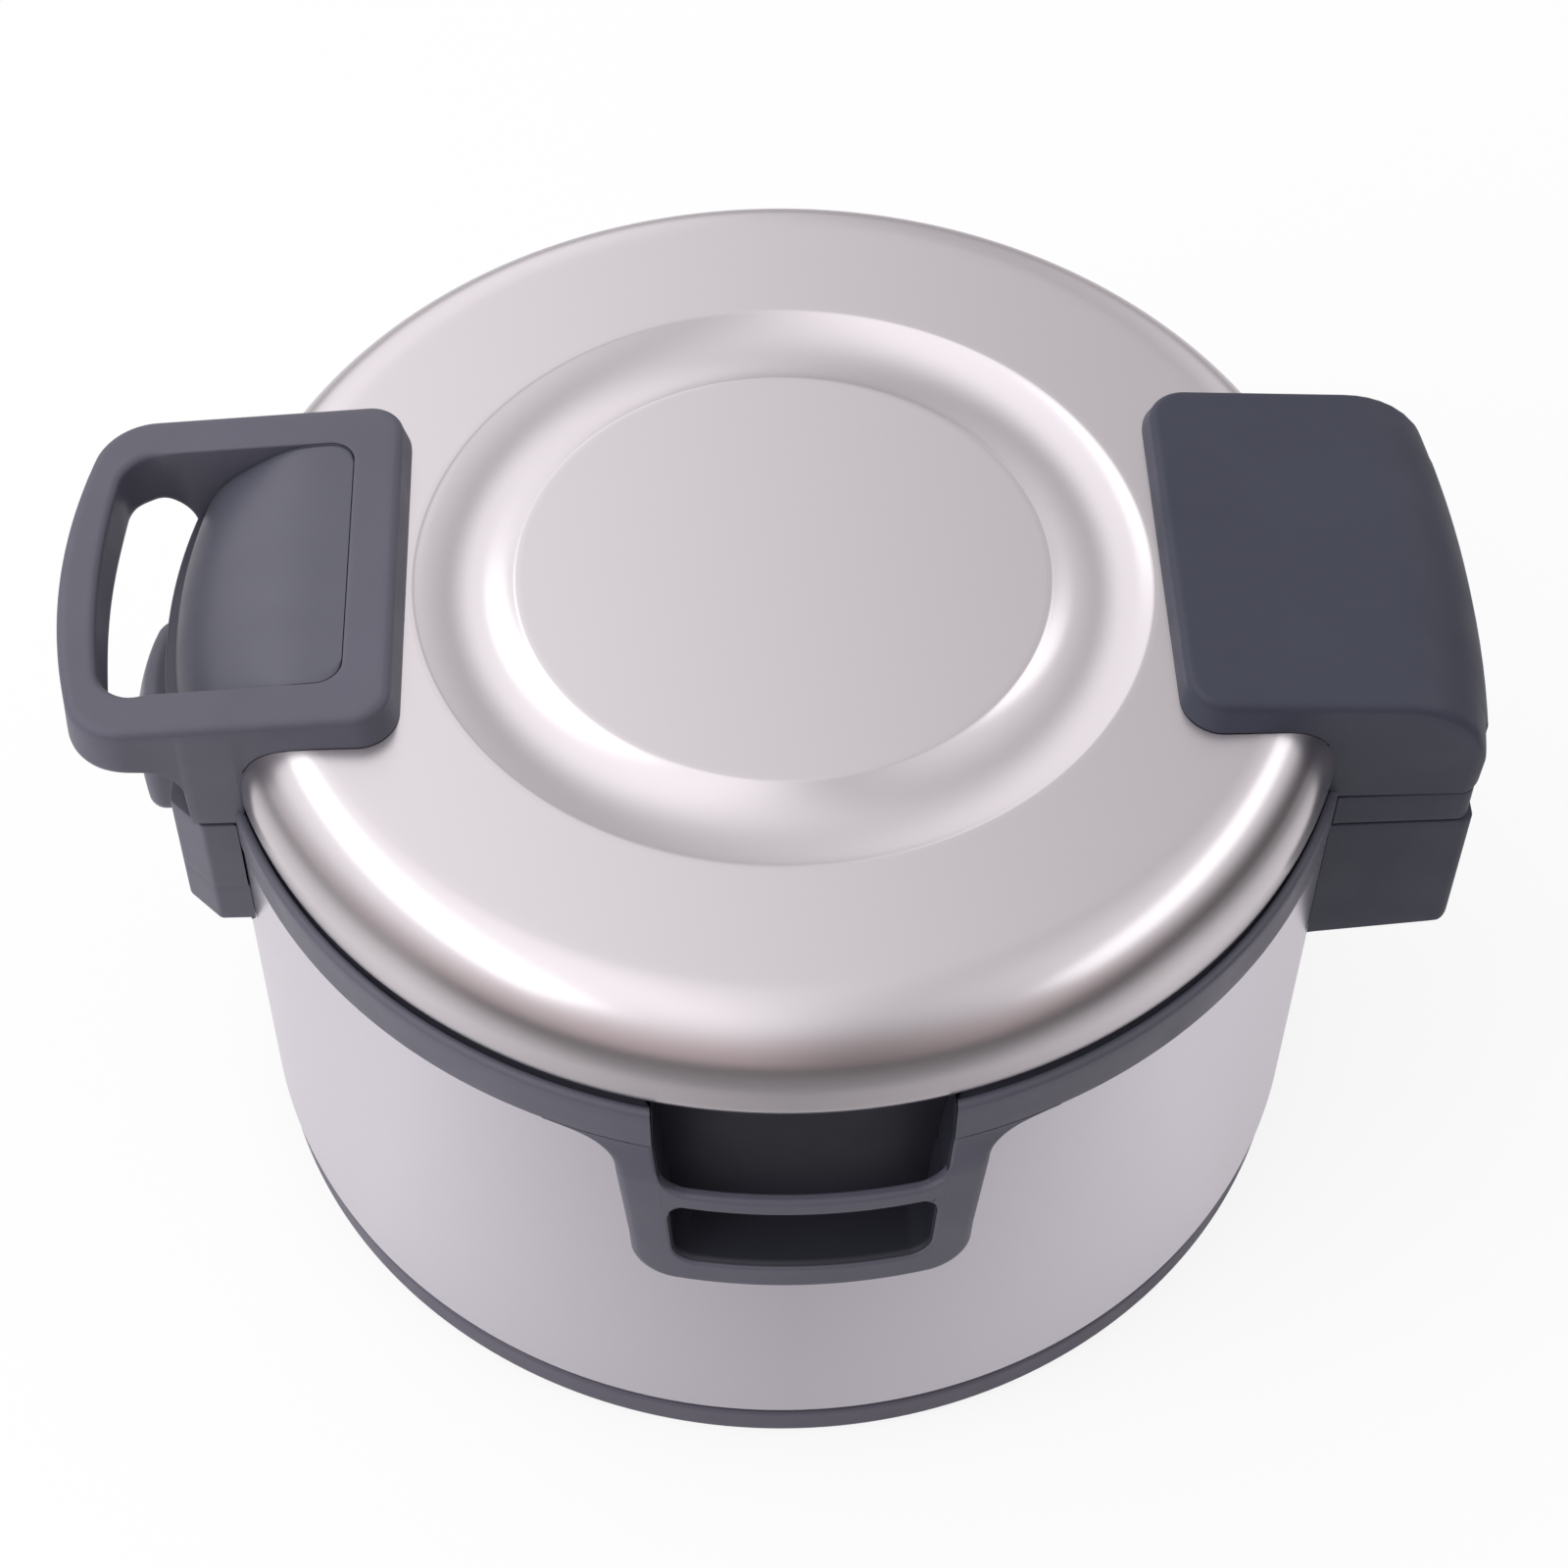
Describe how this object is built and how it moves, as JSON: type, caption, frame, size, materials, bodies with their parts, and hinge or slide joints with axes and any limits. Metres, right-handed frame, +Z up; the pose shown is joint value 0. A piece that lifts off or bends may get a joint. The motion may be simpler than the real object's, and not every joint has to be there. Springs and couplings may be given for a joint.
{
  "type": "electric rice warmer",
  "caption": "Round electric rice warmer: steel body with a lift-out pot, a hinged steel lid with a grip handle and press latch, and recessed carry handles.",
  "frame": {"origin": "on the body's axis at the plane the feet rest on", "axes": "+Z up; +X towards the lid hinge, so the lid handle and latch face -X; the carry handles face -Y and +Y"},
  "size_m": [0.4964, 0.414, 0.2679],
  "materials": {
    "lid_steel": "satin, fine straight grain",
    "shell_steel": "satin, grain along the height",
    "grey_plastic": "fine satin",
    "panel_plastic": "fine satin",
    "rim_plastic": "satin",
    "black_plastic": "satin",
    "foot_rubber": "matte",
    "seal_rubber": "matte",
    "pot_coating": "dark non-stick coat",
    "bare_aluminium": "mill",
    "heater_foil": "foil",
    "wool": "mineral wool",
    "ceramic": "matte",
    "wire": "sleeved",
    "contact_brass": "bright",
    "rocker_red": "gloss",
    "lens_amber": "clear tinted",
    "plain_steel": "plain"
  },
  "bodies": {
    "base": {"base_pan": "black_plastic", "bottom_hatch": "plain_steel", "feet": "foot_rubber", "outer_shell": "shell_steel", "collar_ring": "grey_plastic", "carry_handle_near": "grey_plastic", "carry_handle_far": "grey_plastic", "carry_pocket_near": "black_plastic", "carry_pocket_far": "black_plastic", "heating_chamber": "bare_aluminium", "inner_pot": "pot_coating", "pot_floor": "pot_coating", "side_heater": "heater_foil", "base_heater": "heater_foil", "thermostat": "black_plastic", "thermal_fuse": "ceramic", "body_insulation": "wool", "terminal_block": "ceramic", "wire_loom": "wire", "power_inlet": "black_plastic", "inlet_pins": "contact_brass", "switch_panel": "black_plastic", "pilot_lens": "lens_amber", "latch_block": "grey_plastic", "latch_pin": "plain_steel", "latch_spring": "plain_steel", "hinge_band": "grey_plastic", "hinge_block": "grey_plastic", "hinge_pin": "plain_steel", "hinge_springs": "plain_steel", "hatch_screws": "plain_steel", "hinge_screws": "plain_steel", "carry_screws": "plain_steel"},
    "lid": {"lid_cover": "lid_steel", "lid_underframe": "rim_plastic", "lid_heat_plate": "bare_aluminium", "lid_heater": "heater_foil", "lid_insulation": "wool", "inner_lid": "bare_aluminium", "inner_lid_knob": "black_plastic", "lid_gasket": "seal_rubber", "lid_handle": "grey_plastic", "handle_panel": "panel_plastic", "latch_keeper": "plain_steel", "lid_screws": "plain_steel", "hinge_cover": "grey_plastic"},
    "latch": {"latch_paddle": "panel_plastic"},
    "rocker": {"power_rocker": "rocker_red"}
  },
  "joints": [
    {"name": "lid_hinge", "type": "hinge", "parent": "base", "child": "lid", "pos_m": [0.23289, 0, 0.221], "axis": [0, 1, 0], "range_deg": [0, 90]},
    {"name": "latch_press", "type": "hinge", "parent": "base", "child": "latch", "pos_m": [-0.2088, 0, 0.182], "axis": [0, -1, 0], "range_deg": [0, 7], "stiffness_Nm_per_rad": 0.8, "springref_deg": -6.88},
    {"name": "power_switch", "type": "hinge", "parent": "base", "child": "rocker", "pos_m": [-0.1988, -0.008, 0.092], "axis": [0, -1, 0], "range_deg": [0, 12]}
  ]
}
